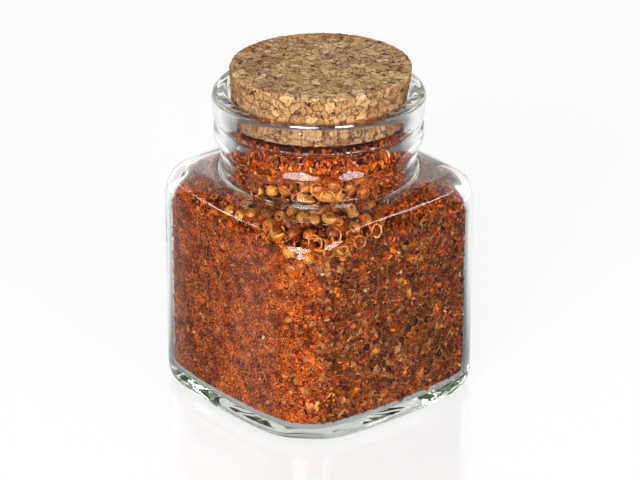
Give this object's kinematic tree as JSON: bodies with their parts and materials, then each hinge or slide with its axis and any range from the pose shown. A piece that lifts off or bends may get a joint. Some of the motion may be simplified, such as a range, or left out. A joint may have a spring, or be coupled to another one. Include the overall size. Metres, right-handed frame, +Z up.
{
  "type": "spice jar",
  "caption": "Square clear-glass spice jar with bowed sides and a round banded neck, closed by a tapered cork stopper and filled with a coarse ground spice mix",
  "frame": {"origin": "centre of the base, on the plane that the jar rests on", "axes": "+Z up along the jar's axis to the stopper; X and Y square to the four faces"},
  "size_m": [0.0634, 0.0634, 0.0831],
  "materials": {
    "glass": "clear, gloss",
    "cork": "agglomerated cork, matte",
    "spice": "coarse ground spice, matte",
    "coriander": "dry seed, satin",
    "husk": "dry seed husk, satin",
    "mustard": "dry seed, satin",
    "chilli": "dry chilli skin, satin",
    "stem": "dry plant fibre, matte"
  },
  "bodies": {
    "jar": {"glass_jar": "glass", "ground_spice": "spice", "coriander_seeds": "coriander", "seed_husks": "husk", "mustard_seeds": "mustard", "chilli_flakes": "chilli", "stem_fibres": "stem"},
    "stopper": {"cork_stopper": "cork"}
  },
  "joints": [
    {"name": "stopper_pull", "type": "slide", "parent": "jar", "child": "stopper", "axis": [0, 0, 1], "range_m": [0, 0.03]}
  ]
}
